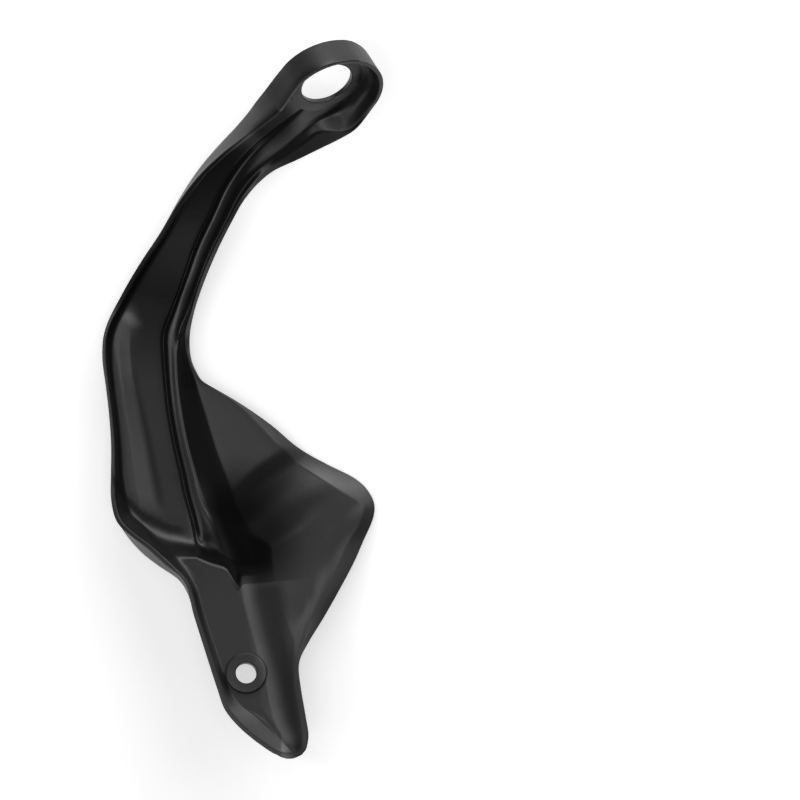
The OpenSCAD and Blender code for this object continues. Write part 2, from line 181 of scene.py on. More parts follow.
def arm_row(n):
    x, y, z, dx, dy, sl, ro, wl, hl, ku, lq, oq = ARM[n]
    a = unit([dx, dy])
    d0 = np.array([a[0] * sind(sl), a[1] * sind(sl), cosd(sl)])
    u0 = np.array([-a[1], a[0], 0])
    D, U, C = d0 * cosd(ro) + u0 * sind(ro), u0 * cosd(ro) - d0 * sind(ro), P(x, y, z)
    d, g, h, k = C + U * (2.4 - wl) + D * 0.3, C - U * 3.8, C - U * 3.1, C + U * (ku * 0.25)
    p, l, o = C + U * ku + D * 0.2, PP(lq), PP(oq)
    uo, ul = (o - C) @ U, (l - C) @ U
    base = C + U * (ul + 1 if n < 5 else uo - 0.8) - D * WALL
    under = l + U * 1.6 - D * 2.7
    edge = o + U * 1.5 - D * 2 if n == 0 else o + U * 0.3 - D * 2.2
    side = ([mix(base, under, 0.6), under, mix(under, edge, 0.5), edge] if n < 5
            else [mix(base, o, f) for f in (0.3, 0.55, 0.8, 0.93)])
    return (
        [C - U * (wl + 0.9) + D * hl, C - U * (wl - 1) + D * hl, d, mix(d, g, 0.28),
         mix(d, g, 0.5), g, h - D * (GROOVE_H * ARM_BEAD[n]), C - U * 1.6 + D * (BEAD_H * ARM_BEAD[n]),
         k + D * (BEAD_H * 0.8 * ARM_BEAD[n]), mix(k, p, 0.6) + D * 0.3, p, mix(p, l, 0.55), l, mix(l, o, 0.33), mix(l, o, 0.67), o],
        [C - U * (wl + ARM_FOOT[n]) - D * WALL, C + U * (2.4 - wl) - D * WALL, C - U * 2.8 - D * WALL,
         C + U * (ku * 0.3) - D * WALL, C + U * (ku * 0.65) - D * WALL, base - U * 1.2, base] + side,
    )


# panel, wing and tail: rim, wall foot, groove edge, bead, bead foot, hollow, hollow floor,
# wall, ridge, middle of the facet, fold near the edge, edge
BODY = [
    [[103.3,336,14], [111,338,7.2], [160.5,335,7.6], [168.5,334,7.9], [175.5,334,8], [179,334,8.5], [180,334,9.1], [182.5,334.5,12], [184.5,335,14.5], [186.5,335,14.5], [188,335,14.5], [189.8,336,14.5]],
    [[102.2,358,14], [111,360,6.5], [161,360,6.9], [169,360,7.2], [176.5,360,6.8], [179.2,360,10], [182.5,360,12.5], [185,359,14], [187.5,358,16.5], [188.7,358.5,16.5], [190,359,16.5], [191.6,360,16.3]],
    [[105.4,384,14], [113,384,6.3], [163,383,6.8], [170.5,383,7], [177.5,383,6.3], [183,383,11], [188.5,383,14], [192.5,383.5,16.5], [197,384,18.5], [198.3,382.5,18.5], [199.6,381,18.4], [201,380,18.2]],
    [[109,415,14], [117,415,6], [166.5,415,6.4], [174,415,6.6], [181.5,415,6], [188.5,415,11], [196,415,14.5], [201.5,415,17], [206.5,415,19.2], [220,409,19.2], [238,404.5,19], [242,404,18.2]],
    [[111,446,14.2], [120,447,5.8], [172.5,447,6.2], [180,446,6.4], [187.5,446,5.5], [195,447,10.5], [205,450,14.5], [212,452.5,17.5], [219,455,20], [239,440,19.7], [265,431,19.2], [271.5,424.5,16.6]],
    [[110.8,476,14.6], [122,477,5.8], [179,477,6.2], [187,475,6.2], [195,475,5.3], [203,477,9.8], [215,482,14], [223.5,485.5,17.5], [232,489,20.6], [254,468,20], [283,448,19], [297.5,446.5,14]],
    [[111,500,15.2], [127,501,6], [183.5,498,6.4], [191.5,496,6.2], [199.5,497,5.3], [208.5,499,8.6], [220.5,503,11.2], [229.5,506,14], [238,509,16.8], [262,483,15.6], [296,462,15.8], [309,454,11]],
    [[116.5,521.5,17], [131,514,6.8], [188,514,7], [196.5,513,6.6], [204.5,514,5.2], [216,519,6.4], [228,526,7.4], [238,527,9.4], [249,527,12], [275,506,12.5], [315,475,15.4], [327.5,464,11.2]],
    [[130,535.5,20], [142,525,8.5], [192,529,8], [200.5,530,7], [208.5,532,5.4], [221,540,4.4], [236,547,4.8], [254,546,10.5], [271,545,24.5], [303,526,20.2], [346,494,16.4], [365,486,12]],
    [[145,546.5,22.5], [155,539,12], [194.5,544,9.5], [204,546,7.7], [212,547,6], [226,557,4], [240,563,4], [258,562,10.5], [272,560,25.2], [310,540,20.5], [362,504,15.6], [374.3,501,12.2]],
    [[164,563.5,25], [176,558,20.5], [196,556.5,21], [211,562.5,21.3], [227,567,21.5], [239,587,22.5], [240.5,574.5,22.3], [256,576,23], [274,574,26], W(303,570), W(343,552), W(361,547,-0.3)],
    [[183,579.5,27.3], F(193,583), F(215,588), F(225,593), F(232,597), F(238.5,600), F(244.5,597,0.1), [260,594,24.0], W(279,592,0.4), W(303,592), W(327,592), W(338.3,592.5,-0.4)],
    [[193.8,616,28.3], F(204,617), F(226,620), F(234,621), F(240,621), F(245,622), F(248.5,622,0.1), [267,622,25.1], W(286,622,0.4), W(300,621), W(313,620), W(322.3,620.5,-0.4)],
    [[201.7,641,29.3], F(212.5,642), F(233,643), F(241,644), F(246,645), F(250,645), F(254,645,0.2), [272,645,26.6], [293,643,29], [298,642,28.3], [304,641,27.6], [309.3,641.5,27]],
    [[208,661,30.2], F(219.5,662), F(236,663), F(244,663), F(251,663), F(255,663), F(259.5,663,0.2), [277,663,27.7], [293.5,662,30.6], [295,662,30.6], [297,662,30.6], [299.3,662,30.4]],
    [[217.5,690,31.4], F(229.5,691), F(241,692), F(248,692), F(256,692), F(260,692), F(264,692,0.3), [282,691,29.4], [295,690,32.4], [297,690,32.4], [299,690,32.4], [301.3,690,32.2]],
    [[224.7,710,32], F(241,706), F(249,709), F(255,711), F(260,711), F(264,711), F(268,711,0.4), [286,708,30.7], [298.5,707,33.5], [300.5,707,33.5], [302.5,707,33.5], [304.2,707,33.3]],
    [[237.2,725.5,32.6], F(256,717,0.4), F(261,719,0.5), F(265,721,0.5), F(268.5,723,0.5), F(271.5,723,0.5), F(274,723,0.6), [289.5,722,31.7], [301,721,34.4], [303,721,34.4], [305,721,34.4], [306.6,721,34.2]],
    [[255,741,33.2], F(272,733,1), F(274,734,1), F(276,735,1), F(278,736,1), F(280,736,1), F(281.5,736,1.2), [293,735,32.8], [303,736.5,35], [305,736.5,35], [307,736.5,35], [308.7,736.5,34.8]],
    [[271.8,753,33.8], F(281,746,2), F(282.5,746.5,2), F(284,746.8,2), F(285.5,746.8,2), F(287,746.8,2), F(288.5,746.5,2.2), [295,745.5,33], [301.5,746.5,34.9], [303.3,747.7,34.9], [305,748.5,34.9], [306.9,749.2,34.8]],
]
CREASE = [[.16,.39], [.16,.39], [.18,.42], [.19,.49], [.22,.56], [.23,.58], [.21,.58], [.18,.57],
          [.1,.55], [.15,.5]] + [[.3,.6]] * 10
RELIEF = [0.2, 0.4, 0.6, 0.6, 0.6, 0.6, 0.6, 0.5, 0.4, 0.2] + [0] * 10
BEAD = [1, 1, 1, 1, 1, 1, 1, 1, 1, 0.1] + [0] * 10
FOOT = {8: [127, 536.5, 7], 9: [139.5, 551, 9], 10: [159.5, 567, 16], 11: [180, 581.5, 19]}
HEEL = [[188.7, 334.5, 6], [189.7, 358.5, 5.3], [192, 384, 5]]


def body_row(n):
    s = BODY[n]
    b, d, g, i = PP(s[0]), PP(s[1]), PP(s[2]), PP(s[3])
    in2 = unit([d[0] - b[0], d[1] - b[1], 0])
    c = b + in2 * min(1.8, 0.45 * math.hypot(d[0] - b[0], d[1] - b[1]))
    a = PP(FOOT[n]) if n in FOOT else np.array([b[0] + in2[0] * 0.6, b[1] + in2[1] * 0.6, d[2] - WALL])
    cf, up, z = CREASE[n], np.array([0, 0, RELIEF[n]]), np.array([0, 0, 1.0])
    return (
        [b, c, d, mix(d, g, cf[0]) - up * 0.8, mix(d, g, cf[1]) + up, g,
         mix(g, i, 0.4) - z * (GROOVE_H * BEAD[n]), i + z * (BEAD_H * BEAD[n])]
        + [PP(s[4]) + z * (BEAD_H * 0.85 * BEAD[n])] + [PP(s[j]) for j in range(5, 12)],
        a,
    )


def bez(a, b, c, t):
    return a * ((1 - t) * (1 - t)) + b * (2 * t * (1 - t)) + c * (t * t)


TIP = [[[274, 747, 30.2], [290, 751.5, 30.3], [301, 744, 30.8]],
       [[276, 751, 30.4], [291, 756.5, 30.6], [302, 747.5, 31.2]],
       [[278.5, 754.5, 31.8], [291.5, 759.3, 32], [301.5, 752, 32.6]]]


def tip_back(n):
    a, b, c = (PP(q) for q in TIP[n])
    o = P(305.3 - n, 749 + n * 1.6, 33.4)
    return [bez(a, b, c, t / 7) for t in range(8)] + [mix(c, o, f) for f in (0.35, 0.7, 1)]


def tip_in():
    l, o = P(299.5, 750.5, 34.9), P(304.5, 752, 34.8)
    return (
        [P(276.5, 755, 34)]
        + [bez(P(280, 751.5, 34.1), P(291, 758, 34.6), l, t / 11) for t in range(12)]
        + [mix(l, o, 0.35), mix(l, o, 0.7), o],
        tip_back(1),
    )


def tip_out():
    l, o = P(299, 756.2, 34.8), P(302.3, 754.5, 34.8)
    return (
        [P(279.8, 756.6, 34)]
        + [bez(P(281.5, 757.3, 34.1), P(290.5, 761, 34.6), l, t / 11) for t in range(12)]
        + [mix(l, o, 0.35), mix(l, o, 0.7), o],
        tip_back(2),
    )


# control rows
_ring = [cup_lip_out(), cup_lip_in()] + [cup_row(t) for t in (8, 20, 35, 50, 65, 80, 95)]
_arm = [arm_row(n) for n in range(len(ARM))]
_body = [body_row(n) for n in range(len(BODY))]
NR, NA = len(_ring), len(_ring) + len(ARM)
NB = NA + len(BODY)
INNER = np.array([r[0] for r in _ring] + [r[0] for r in _arm] + [r[0] for r in _body]
                 + [tip_in()[0], tip_out()[0]])
BASE = [0, 2, 5, 8, 9, 10, 11, 12, 13, 14, 15]


def net_n(i, j):
    total = np.zeros(3)
    for di in (-1, 1):
        for dj in (-1, 1):
            if 0 <= j + dj < len(BASE):
                a = INNER[i][BASE[j]]
                n = np.cross((INNER[i][BASE[j + dj]] - a) * dj, (INNER[i + di][BASE[j]] - a) * di)
                m = np.linalg.norm(n)
                if m > 1e-6:
                    total += n / m
    n = unit(total)
    return -n if n[2] < 0 else n


def body_back(n):
    i = NA + n
    q = [INNER[i][BASE[j]] - net_n(i, j) * WALL for j in range(1, 11)]
    if n < 3:
        heel = PP(HEEL[n])
        q = [q[0], q[1], q[2], mix(q[2], heel, 0.45), mix(q[2], heel, 0.8), heel] + \
            [mix(heel, INNER[i][15], f) for f in (0.3, 0.55, 0.8, 0.93)]
    elif n == 19:
        q = tip_back(0)[1:]
    elif n >= 14:
        edge = INNER[i][15] - np.array([0, 0, 2.0])
        under = INNER[i][12] - net_n(i, 6) * WALL
        q = q[:6] + [under, mix(under, edge, 0.35), mix(under, edge, 0.7), edge]
    return [_body[n][1]] + q


OUTER = np.array([r[1] for r in _ring] + [r[1] for r in _arm]
                 + [body_back(n) for n in range(len(BODY))] + [tip_in()[1], tip_out()[1]])


def sharp(i, j, outer):
    n = i - NA
    if i <= 2 or i >= NB - 1:
        return True
    if outer:
        return (6 <= j <= 8 and n in (5, 6, 8, 9)) or (n == 10 and 1 <= j <= 6)
    return ((11 <= j <= 13 and n in (5, 6, 8)) or (j >= 12 and n == 2)
            or (9 <= j <= 13 and j != 12 and n == 9) or (n == 10 and 3 <= j <= 11)
            or (n == -1 and 2 <= j <= 5))


def tangent(A, i, j, outer, side):
    u, v = A[i + 1][j] - A[i][j], A[i][j] - A[i - 1][j]
    if sharp(i, j, outer):
        return u if side > 0 else v
    lu, lv = np.linalg.norm(u), np.linalg.norm(v)
    return (u * (lv / lu) + v * (lu / lv)) * ((lu if side > 0 else lv) / (lu + lv))


def along(A, i, j, t, outer):
    if t == 0:
        return A[i][j]
    a, b = A[i][j], A[i + 1][j]
    ta = A[1][j] - A[0][j] if i == 0 else tangent(A, i, j, outer, 1)
    tb = b - a if i + 2 >= len(A) else tangent(A, i + 1, j, outer, -1)
    return (a * (2 * t**3 - 3 * t * t + 1) + b * (3 * t * t - 2 * t**3)
            + ta * (t**3 - 2 * t * t + t) + tb * (t**3 - t * t))


STEP = 1.0


def steps(i):
    if i == 0:
        return 3
    if i >= NB - 1:
        return 3
    gap = np.linalg.norm(INNER[i + 1] - INNER[i], axis=1)
    return int(max(3, min(14, math.ceil(np.median(gap) / STEP))))


TIMES = [(i, k / steps(i)) for i in range(NB + 1) for k in range(steps(i))] + [(NB + 1, 0)]
fine_in = np.array([[along(INNER, i, j, t, False) for j in range(16)] for i, t in TIMES])
fine_out = np.array([[along(OUTER, i, j, t, True) for j in range(11)] for i, t in TIMES])

# points and radius of the fillet at every column, inside then outside
ROUND_IN = [(5, 0.5), (5, 0.5), (7, 2.0), (3, 0.5), (3, 0.5), (3, 0.4), (4, 0.6), (7, 1.3), (7, 1.5),
            (3, 1.2), (5, 1.8), (3, 1.5), (5, 0.9), (2, 0.5), (3, 0.8), (5, 0.55)]
ROUND_OUT = [(5, 0.8), (7, 3.2), (1, 0), (3, 1.5), (3, 1.5), (3, 1.0), (5, 1.6), (3, 0.8), (2, 0.5),
             (2, 0.5), (1, 0)]
# how many pieces the flat between one column and the next is cut into
SPAN_IN = [1, 2, 2, 3, 4, 1, 1, 1, 1, 1, 2, 2, 3, 3, 1, 1]
SPAN_OUT = [3, 3, 3, 2, 1, 1, 2, 2, 1, 1, 1]


def corner(a, b, c, n, r):
    if n == 1:
        return [b]
    la, lc = np.linalg.norm(a - b), np.linalg.norm(c - b)
    p = b + (a - b) * (min(r, la * 0.42) / max(la, 1e-9))
    q = b + (c - b) * (min(r, lc * 0.42) / max(lc, 1e-9))
    return [bez(p, b, q, k / (n - 1)) for k in range(n)]


def section(m):
    L = list(fine_in[m]) + list(fine_out[m][::-1])
    R = ROUND_IN + ROUND_OUT[::-1]
    G = SPAN_IN + SPAN_OUT[::-1]
    n, out, tag = len(L), [], []
    arcs = [corner(L[j - 1], L[j], L[(j + 1) % n], *R[j]) for j in range(n)]
    for j in range(n):
        out += arcs[j]
        tag += [j] * len(arcs[j])
        nxt = arcs[(j + 1) % n][0]
        for k in range(1, G[j]):
            out.append(mix(arcs[j][-1], nxt, k / G[j]))
            tag.append(j + k / G[j])
    return out, tag


grid, tags = [], None
for m in range(len(TIMES)):
    pts, tags = section(m)
    grid.append(pts)
G = np.array(grid)                       # rows, points round the section, xyz in mm
TAG = np.array(tags)
NS, M = G.shape[:2]

# a fine raised line where the wing's flange starts
for m, (i, t) in enumerate(TIMES):
    n = i + t - NA
    lift = 0.32 * max(0.0, min(1.0, (n - 8.6) / 0.8, (13.4 - n) / 0.6))
    G[m][TAG == 14] += np.array([0, 0, lift])

# soften the folds that run across the guard, as the mould's fillets do
for _ in range(3):
    H = G.copy()
    H[1:-1] = G[1:-1] * 0.5 + (G[:-2] + G[2:]) * 0.25
    lo, hi = steps(0) + 1, NS - 1 - steps(NB)
    G[lo:hi] = H[lo:hi]

MI = int(np.nonzero(TAG == 15)[0][-1])   # last point of the inside
MO = M - MI - 2


def build_shell(name):
    verts = [tuple(v) for v in G.reshape(-1, 3)]
    faces, zone = [], []
    for i in range(NS - 1):
        for j in range(M):
            a, b = i * M + j, i * M + (j + 1) % M
            c, d = (i + 1) * M + (j + 1) % M, (i + 1) * M + j
            va, vb, vc, vd = (G.reshape(-1, 3)[k] for k in (a, b, c, d))
            if np.linalg.norm(va - vc) <= np.linalg.norm(vb - vd):
                faces += [(a, b, c), (a, c, d)]
            else:
                faces += [(a, b, d), (b, c, d)]

    def inside(i, k):
        return i * M + k

    def outside(i, k):
        return i * M + M - 1 - k

    def strip(i):
        return (
            [(inside(i, k), inside(i, k + 1), outside(i, int(math.floor((k + 0.5) * MO / MI + 0.5))))
             for k in range(MI)]
            + [(outside(i, k + 1), outside(i, k), inside(i, int(math.ceil((k + 0.5) * MI / MO - 0.5))))
               for k in range(MO)]
        )

    faces += [(f[0], f[2], f[1]) for f in strip(0)] + strip(NS - 1)
    # OpenSCAD-style clockwise faces are turned to face outwards
    me = bpy.data.meshes.new(name)
    me.from_pydata(verts, [], [f[::-1] for f in faces])
    me.update()
    ob = bpy.data.objects.new(name, me)
    bpy.context.scene.collection.objects.link(ob)
    return ob


def lathe(name, profile, centre, axis, seg=96):
    """A closed solid turned round an axis: profile is (radius, height) from the bottom up."""
    axis = unit(axis)
    ref = np.array([1.0, 0, 0]) if abs(axis[0]) < 0.8 else np.array([0, 1.0, 0])
    ex = unit(np.cross(ref, axis))
    ey = np.cross(axis, ex)
    verts, faces = [], []
    n = len(profile)
    for k in range(seg):
        t = 2 * math.pi * k / seg
        e = ex * math.cos(t) + ey * math.sin(t)
        verts += [tuple(centre + e * r + axis * h) for r, h in profile]
    for k in range(seg):
        for q in range(n - 1):
            a, b = k * n + q, ((k + 1) % seg) * n + q
            faces.append((a, b, b + 1, a + 1))
    faces.append(tuple(k * n for k in range(seg))[::-1])
    faces.append(tuple(k * n + n - 1 for k in range(seg)))
    me = bpy.data.meshes.new(name)
    me.from_pydata(verts, [], faces)
    me.update()
    ob = bpy.data.objects.new(name, me)
    bpy.context.scene.collection.objects.link(ob)
    return ob


def arc(cx, cy, r, a0, a1, n=5):
    return [(cx + r * cosd(a0 + (a1 - a0) * k / (n - 1)), cy + r * sind(a0 + (a1 - a0) * k / (n - 1)))
            for k in range(n)]


def join(target, tool, operation):
    mod = target.modifiers.new("cut", "BOOLEAN")
    mod.object, mod.operation, mod.solver = tool, operation, "EXACT"
    dg = bpy.context.evaluated_depsgraph_get()
    me = bpy.data.meshes.new_from_object(target.evaluated_get(dg))
    target.modifiers.clear()
    old = target.data
    target.data = me
    bpy.data.meshes.remove(old)
    bpy.data.objects.remove(tool)


guard = build_shell("guard_shell")
BOLT_C = P(246, 673.5, floor_z(246, 673.5))
pad = lathe("pad", [(14.8, -2.5), (15.5, -2.3)] + arc(15.1, -0.4, 0.4, 0, 90), SEAT_C, SEAT_D)
join(guard, pad, "UNION")
boss = lathe("boss", [(7.9, -2.9), (8.2, -2.6), (8.2, 0.1)] + arc(7.6, 1.4, 0.6, 0, 90), BOLT_C, FLOOR_N)
join(guard, boss, "UNION")
bore = lathe("bore", [(13.35, -10), (13.35, -4.4), (13.2, -4.2), (13.2, -2.5), (10.95, -2.5), (10.7, -2.25),
                      (10.7, -0.3), (11.0, 0), (11.0, 4)], SEAT_C, SEAT_D, 128)
join(guard, bore, "DIFFERENCE")
hole = lathe("hole", [(4.5, -8), (4.5, -2.9), (4.2, -2.6), (4.2, 1.65), (4.55, 2.0), (4.55, 8)],
             BOLT_C, FLOOR_N, 96)
join(guard, hole, "DIFFERENCE")

# --------------------------------------------------------------------------------------
# Zones of the surface: carried from the net to the finished mesh by nearest point.
# grain: 0 satin inside, 1 textured outside. deep: painted shade, strongest the further down a hollow a point
# lies.
# --------------------------------------------------------------------------------------
ROWV = np.array([i + t for i, t in TIMES])


def zone_grain(row, tag):
    if tag > 15.01:
        return 1.0
    n = row - NA
    if row < NR:                                  # cup: smooth, with a matt rim top
        return 0.25
    if row < NR + 4.5:                            # laid-back bevel beside the cup
        return 1.0 if tag >= 12.1 else 0.1
    if n < 2.2:
        return 0.1 if tag < 12 else 0.3
    if n < 10:
        if tag >= 12:
            return 0.8                            # wing facets
        if tag >= 9:
            return 0.5
        return 0.45 if tag < 7 else 0.15          # panel bands, then the bead
    return 0.6


def smooth(f):
    f = max(0.0, min(1.0, f))
    return f * f * (3 - 2 * f)


def along(table, s):
    """Straight-line reading of a short table of (place, value)."""
    return float(np.interp(s, [r[0] for r in table], [r[1] for r in table]))


CREASE = [(585, 242), (600, 243.5), (660, 259.5), (690, 267.5), (705, 270), (720, 274), (735, 282)]
BEAD_X = [(170, 238), (200, 222), (250, 200), (300, 182), (340, 171), (400, 179), (447, 192),
          (500, 206), (530, 214)]
# how much painted shade the panel and the neck get, down the sheet
SHADE_Y = [(225, 0), (250, 0.5), (300, 0.75), (345, 0.65), (380, 0.42), (430, 0.33), (480, 0.35),
          (505, 0.25), (522, 0)]
FOLD_X = [(320, 127), (360, 131), (380, 133), (430, 143), (480, 153), (515, 160)]
LIP_X = [(498, 364), (534, 348), (577, 326), (620, 304), (640, 295)]
FOOT_Y = [(108, 470), (118, 488), (127, 500), (142, 516), (168, 528), (200, 534)]
# how much painted highlight the bead's crest gets, down the sheet
HIGHLIGHT_Y = [(175, 0), (195, 1), (300, 1), (335, 0.3), (350, 0)]


def zone_deep(row, tag, p):
    """Painted shade on the inner side, made by less shine and more roughness: 1 at the pocket's bottom,
    less on the tail's wall beside its crease, the neck's floor and the panel, 0 elsewhere."""
    n = row - NA
    x, y = p[0] / GRID + 240, 400 - p[1] / GRID
    if row < NR or tag > 15.01:
        return 0.0
    if 3.5 < n < 10.4 and 8.4 < tag < 14.2:
        return smooth((90 - math.hypot(x - 238, y - 538)) / 60) * max(0.0, min(1.0, (tag - 8.4) / 0.8))
    if n > 10:
        crease = along(CREASE, y)
        top = 283 + (y - 597) * 0.14
        return 0.5 * smooth((x - crease - 2) / 18) * smooth((top + 4 - x) / 9) * smooth((y - 572) / 20)
    neck = 0.85 * smooth((34 - math.hypot(x - 272, y - 120)) / 20) if n < 0 else 0.0
    g = along(FOLD_X, y)
    slim = smooth((y - 316) / 34)
    side = smooth((x - 127) / 15) * (1 - slim) + smooth((x - g + 1) / 4) * slim
    left = 1 - smooth((y - 298) / 18) * (1 - side)
    line = 0.3 * smooth((4.5 - abs(x - g - 2)) / 3) * smooth((y - 335) / 20) * smooth((515 - y) / 20)
    flat = (along(SHADE_Y, y) * left * smooth((along(BEAD_X, y) - 5 - x) / 5) + line) if tag < 9 else 0.0
    foot = 0.0
    if tag < 9 and x < 200:
        foot = 0.8 * smooth((8 - abs(y - along(FOOT_Y, x))) / 6) * smooth((x - 108) / 8) * smooth((192 - x) / 14)
    return max(neck, flat, foot)


def zone_painted_highlight(row, tag, p):
    """Painted highlight, made by extra shine: the tail's crease, the bead's crest, the elbow's
    fold and the wing's lip."""
    n = row - NA
    x, y = p[0] / GRID + 240, 400 - p[1] / GRID
    if row < NR or tag > 15.01:
        return 0.0
    if n > 3 and x > 295 and y < 640:
        lip = smooth((7 - abs(x - along(LIP_X, y))) / 5) * smooth((y - 498) / 12) * smooth((632 - y) / 20)
        top = smooth((13 - abs(y - 466 - (x - 305) * 0.42)) / 8) * smooth((x - 298) / 25)
        return max(lip, 0.9 * top if y < 505 else 0.0)
    if n > 10:
        s = x - along(CREASE, y)
        return smooth((s + 1.5) / 2) * smooth((16 - s) / 15) * smooth((y - 570) / 14)
    crest = along(HIGHLIGHT_Y, y) * smooth((8 - abs(x - along(BEAD_X, y) - 0.5)) / 5)
    fold = 0.8 * smooth((16 - math.hypot((x - 131) * 0.8 + (y - 319) * 0.6, ((y - 319) * 0.8 - (x - 131) * 0.6) * 2)) / 12)
    return max(crest, fold)


kd = KDTree(NS * M)
GF = G.reshape(-1, 3)
for q in range(NS * M):
    kd.insert(Vector(GF[q]), q)
kd.balance()
me = guard.data
grain = np.zeros(len(me.vertices), np.float32)
for v in me.vertices:
    _, q, _ = kd.find(v.co)
    grain[v.index] = zone_grain(ROWV[q // M], TAG[q % M])

# as it lies: turned on to its three resting points, in metres
LIE = (Matrix.Translation(Vector((-5.34, -4.08, -6.427))) @ Matrix.Rotation(math.radians(-4.6), 4, "X")
       @ Matrix.Rotation(math.radians(7.2), 4, "Y"))
TO_WORLD = Matrix.Scale(0.001, 4) @ LIE
me.transform(TO_WORLD)
bm = bmesh.new()
bm.from_mesh(me)
bmesh.ops.dissolve_degenerate(bm, dist=1e-7, edges=bm.edges)
bmesh.ops.recalc_face_normals(bm, faces=bm.faces)
bm.to_mesh(me)
bm.free()
print("guard mesh", len(me.vertices), "verts", len(me.polygons), "faces")
# the grain goes on after the clean-up, by nearest point again
att = me.attributes.new("grain", "FLOAT", "POINT")
inv = TO_WORLD.inverted()
vals = np.zeros(len(me.vertices), np.float32)
for v in me.vertices:
    _, q, _ = kd.find(inv @ v.co)
    vals[v.index] = zone_grain(ROWV[q // M], TAG[q % M])
att.data.foreach_set("value", vals)
# painted shade, stored per point
deep = me.attributes.new("deep", "FLOAT", "POINT")
dv = np.zeros(len(me.vertices), np.float32)
for v in me.vertices:
    p = inv @ v.co
    _, q, _ = kd.find(p)
    dv[v.index] = zone_deep(ROWV[q // M], TAG[q % M], p)
deep.data.foreach_set("value", dv)
# painted highlight, stored per point
painted_highlight = me.attributes.new("painted_highlight", "FLOAT", "POINT")
gv = np.zeros(len(me.vertices), np.float32)
for v in me.vertices:
    p = inv @ v.co
    _, q, _ = kd.find(p)
    gv[v.index] = zone_painted_highlight(ROWV[q // M], TAG[q % M], p)
painted_highlight.data.foreach_set("value", gv)
me.shade_smooth()
me.set_sharp_from_angle(angle=math.radians(38))


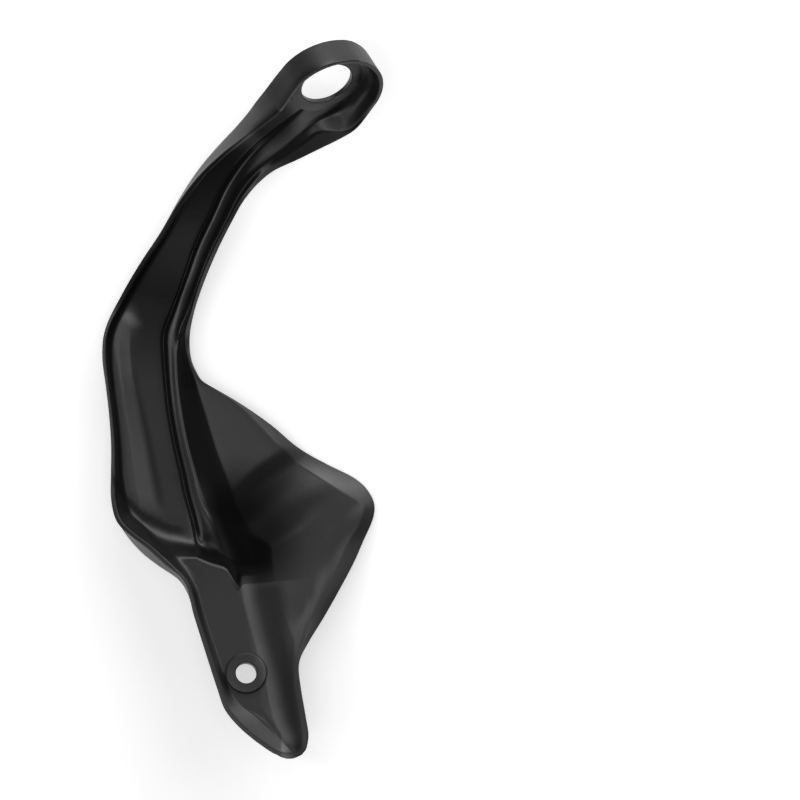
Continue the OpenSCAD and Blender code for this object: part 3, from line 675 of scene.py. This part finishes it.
# --------------------------------------------------------------------------------------
# Material: black moulded plastic
# --------------------------------------------------------------------------------------
def black_plastic():
    mat = bpy.data.materials.new("black_plastic")
    mat.use_nodes = True
    nt = mat.node_tree
    for n in list(nt.nodes):
        nt.nodes.remove(n)

    def node(kind, x, y, **kw):
        n = nt.nodes.new(kind)
        n.location = (x, y)
        for k, v in kw.items():
            setattr(n, k, v)
        return n

    def link(a, b):
        nt.links.new(a, b)

    out = node("ShaderNodeOutputMaterial", 900, 0)
    bsdf = node("ShaderNodeBsdfPrincipled", 600, 0)
    link(bsdf.outputs[0], out.inputs[0])
    tc = node("ShaderNodeTexCoord", -1400, 0)
    grain = node("ShaderNodeAttribute", -1400, -400, attribute_name="grain")
    # large soft variation, from flow in the mould
    big = node("ShaderNodeTexNoise", -1000, 300)
    big.inputs["Scale"].default_value = 28
    big.inputs["Detail"].default_value = 4
    link(tc.outputs["Object"], big.inputs["Vector"])
    # fine spark texture
    fine = node("ShaderNodeTexNoise", -1000, 0)
    fine.inputs["Scale"].default_value = 2600
    fine.inputs["Detail"].default_value = 2
    link(tc.outputs["Object"], fine.inputs["Vector"])
    mid = node("ShaderNodeTexNoise", -1000, -200)
    mid.inputs["Scale"].default_value = 700
    mid.inputs["Detail"].default_value = 3
    link(tc.outputs["Object"], mid.inputs["Vector"])

    ramp = node("ShaderNodeMapRange", -700, 300)
    ramp.inputs["From Min"].default_value = 0.3
    ramp.inputs["From Max"].default_value = 0.7
    ramp.inputs["To Min"].default_value = 0.85
    ramp.inputs["To Max"].default_value = 1.15
    link(big.outputs["Fac"], ramp.inputs["Value"])

    # colour: near black inside, a shade greyer where it is grained
    col = node("ShaderNodeMix", -400, 300, data_type="RGBA")
    col.inputs[6].default_value = (0.0045, 0.0045, 0.0048, 1)
    col.inputs[7].default_value = (0.010, 0.0098, 0.0100, 1)
    link(grain.outputs["Fac"], col.inputs[0])
    mul = node("ShaderNodeMix", -150, 300, data_type="RGBA", blend_type="MULTIPLY")
    mul.inputs[0].default_value = 1
    link(col.outputs[2], mul.inputs[6])
    link(ramp.outputs[0], mul.inputs[7])
    link(mul.outputs[2], bsdf.inputs["Base Color"])

    # roughness
    rough = node("ShaderNodeMapRange", -400, 0)
    rough.inputs["To Min"].default_value = 0.25
    rough.inputs["To Max"].default_value = 0.40
    link(grain.outputs["Fac"], rough.inputs["Value"])
    rv = node("ShaderNodeMath", -150, 0, operation="MULTIPLY_ADD")
    link(big.outputs["Fac"], rv.inputs[0])
    rv.inputs[1].default_value = 0.12
    link(rough.outputs[0], rv.inputs[2])

    # painted shade: the shine is cut and the roughness raised in the pocket, the neck, the panel and the tail's
    # wall, to darken them
    hollow = node("ShaderNodeAttribute", -400, -700, attribute_name="deep")
    rr = node("ShaderNodeMath", 50, 0, operation="MULTIPLY_ADD")
    link(hollow.outputs["Fac"], rr.inputs[0])
    rr.inputs[1].default_value = 0.25
    link(rv.outputs[0], rr.inputs[2])
    link(rr.outputs[0], bsdf.inputs["Roughness"])
    shaded_spec = node("ShaderNodeMapRange", 50, -600)
    shaded_spec.inputs["To Min"].default_value = 0.5
    shaded_spec.inputs["To Max"].default_value = 0.05
    link(hollow.outputs["Fac"], shaded_spec.inputs["Value"])
    # painted highlight: extra shine on the tail's crease, the bead's crest, the elbow's fold and the wing's lip,
    # added to the shine left after the painted shade
    highlight_attr = node("ShaderNodeAttribute", 50, -800, attribute_name="painted_highlight")
    painted_light_spec = node("ShaderNodeMath", 300, -700, operation="MULTIPLY_ADD")
    link(highlight_attr.outputs["Fac"], painted_light_spec.inputs[0])
    painted_light_spec.inputs[1].default_value = 0.45
    link(shaded_spec.outputs[0], painted_light_spec.inputs[2])
    link(painted_light_spec.outputs[0], bsdf.inputs["Specular IOR Level"])

    # bump
    amp = node("ShaderNodeMapRange", -700, -400)
    amp.inputs["To Min"].default_value = 0.10
    amp.inputs["To Max"].default_value = 0.55
    link(grain.outputs["Fac"], amp.inputs["Value"])
    b1 = node("ShaderNodeBump", 100, -250)
    b1.inputs["Distance"].default_value = 0.00012
    link(fine.outputs["Fac"], b1.inputs["Height"])
    link(amp.outputs[0], b1.inputs["Strength"])
    b2 = node("ShaderNodeBump", 300, -350)
    b2.inputs["Distance"].default_value = 0.0002
    b2.inputs["Strength"].default_value = 0.12
    link(mid.outputs["Fac"], b2.inputs["Height"])
    link(b1.outputs[0], b2.inputs["Normal"])
    link(b2.outputs[0], bsdf.inputs["Normal"])
    bsdf.inputs["IOR"].default_value = 1.5
    return mat


guard.data.materials.clear()
guard.data.materials.append(black_plastic())
guard.name = "guard_shell"
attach(guard, "root")
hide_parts("hand_guard")

# --------------------------------------------------------------------------------------
# Floor, light, camera
# --------------------------------------------------------------------------------------
bpy.ops.mesh.primitive_plane_add(size=6, location=(0, 0, 0))
floor = bpy.context.object
floor.name = "floor"
fm = bpy.data.materials.new("floor")
fm.use_nodes = True
fb = fm.node_tree.nodes["Principled BSDF"]
fb.inputs["Base Color"].default_value = (0.9, 0.9, 0.9, 1)
fb.inputs["Emission Color"].default_value = (1, 1, 1, 1)
fb.inputs["Emission Strength"].default_value = 0.45
fb.inputs["Roughness"].default_value = 0.7
fb.inputs["Specular IOR Level"].default_value = 0.2
floor.data.materials.append(fm)

bpy.context.scene.view_settings.view_transform = "Standard"
world = bpy.data.worlds.new("studio")
bpy.context.scene.world = world
world.use_nodes = True
bg = world.node_tree.nodes["Background"]
bg.inputs[0].default_value = (1, 1, 1, 1)
bg.inputs[1].default_value = 0.07

rot = LIE.to_3x3()


def sheet(x, y, z):
    return TO_WORLD @ Vector(P(x, y, z))


def area(name, at, to, size, power, colour=(1, 1, 1)):
    light = bpy.data.lights.new(name, "AREA")
    light.shape = "RECTANGLE"
    light.size, light.size_y = size
    light.energy = power
    light.color = colour
    ob = bpy.data.objects.new(name, light)
    bpy.context.scene.collection.objects.link(ob)
    a, b = sheet(*at), sheet(*to)
    ob.location = a
    ob.rotation_mode = "QUATERNION"
    ob.rotation_quaternion = (b - a).to_track_quat("-Z", "Y")
    return ob


area("top", (1300, -3100, 850), (240, 400, 20), (1.9, 0.7), 19.5)
area("over", (300, 250, 1500), (240, 400, 20), (1.1, 0.5), 1.7)
area("key", (100, 1700, 1500), (240, 400, 20), (0.7, 0.12), 2.2)
area("strip", (-1150, 350, 1450), (240, 400, 20), (0.12, 1.3), 3.6)
area("left", (-2700, 1300, 1000), (240, 400, 20), (0.7, 0.9), 3.3)
area("side", (2700, -700, 1250), (260, 500, 20), (1.0, 0.8), 3.6)

cam_data = bpy.data.cameras.new("camera")
cam_data.type = "ORTHO"
cam_data.ortho_scale = 0.32
cam = bpy.data.objects.new("camera", cam_data)
bpy.context.scene.collection.objects.link(cam)
cam.rotation_mode = "QUATERNION"
cam.rotation_quaternion = rot.to_quaternion()
cam.location = sheet(400, 400, 900)
cam_data.clip_start, cam_data.clip_end = 0.01, 10
bpy.context.scene.camera = cam
